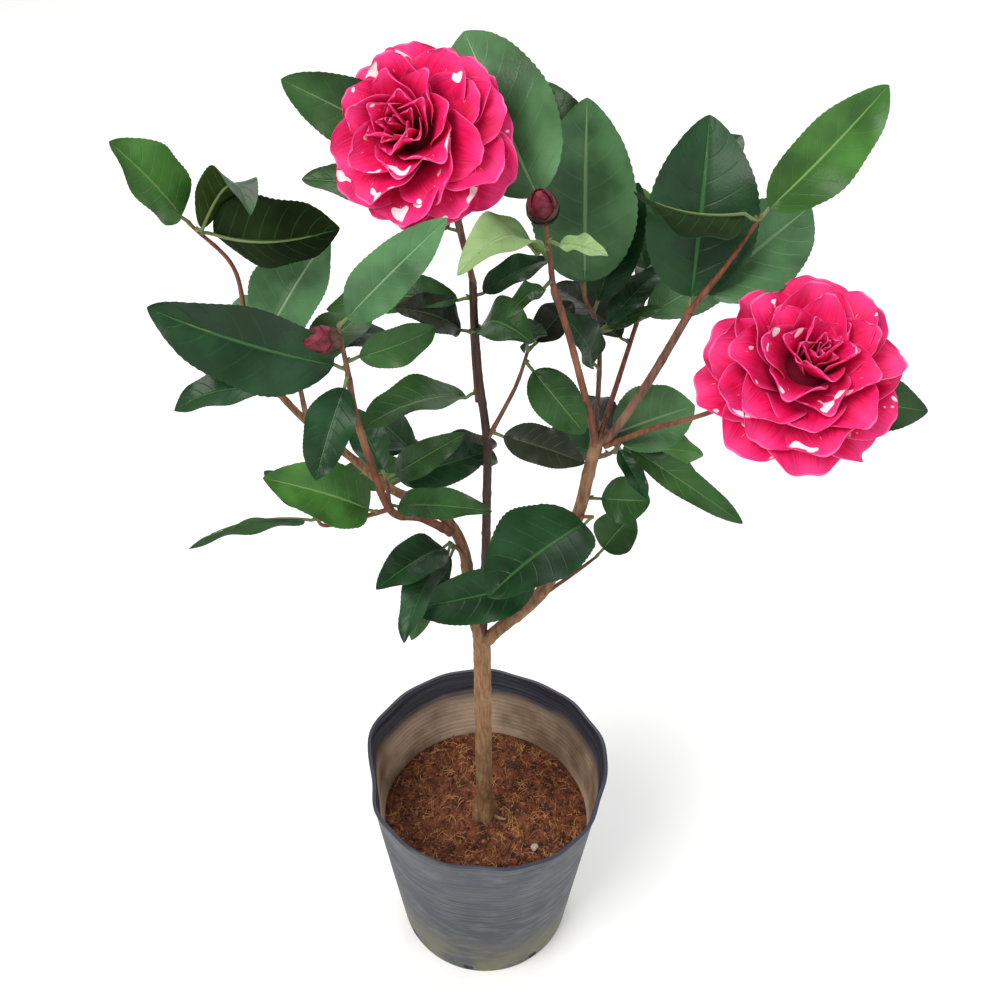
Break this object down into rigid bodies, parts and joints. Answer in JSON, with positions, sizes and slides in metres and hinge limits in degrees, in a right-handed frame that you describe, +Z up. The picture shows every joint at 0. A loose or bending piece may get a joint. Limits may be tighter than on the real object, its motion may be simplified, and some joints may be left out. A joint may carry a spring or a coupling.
{
  "type": "camellia shrub in a nursery pot",
  "caption": "Young camellia shrub in a thin round nursery pot: forked trunk, loose glossy foliage, double pink blooms and fat buds.",
  "frame": {"origin": "centre of the pot's flat underside", "axes": "+Z up along the trunk; both blooms face -Y; +X to the right seen from the blooms' side"},
  "size_m": [0.3843, 0.2415, 0.7055],
  "materials": {
    "pot": "matt",
    "soil": "matt",
    "bark": "matt",
    "leaves": "glossy",
    "petals": "satin"
  },
  "bodies": {
    "root": {"pot": "pot", "soil": "soil", "trunk": "bark", "bough_left": "bark", "bough_right": "bark", "leader": "bark", "bough_left_front": "bark", "bough_bud": "bark", "bough_top_right": "bark", "bloom_left": "petals", "bloom_right": "petals", "foliage_left_top": "leaves", "foliage_left": "leaves", "foliage_left_low": "leaves", "foliage_left_inner": "leaves", "foliage_centre": "leaves", "foliage_centre_right": "leaves", "foliage_bud": "leaves", "foliage_right_inner": "leaves", "foliage_top_right": "leaves", "foliage_right_low": "leaves", "foliage_heart": "leaves", "foliage_low_centre": "leaves", "foliage_left_front": "leaves", "foliage_right_back": "leaves", "foliage_right_twig": "leaves", "foliage_back_top": "leaves", "foliage_back_right": "leaves", "foliage_back_left": "leaves", "foliage_back_low": "leaves", "foliage_back_side": "leaves"}
  },
  "joints": []
}
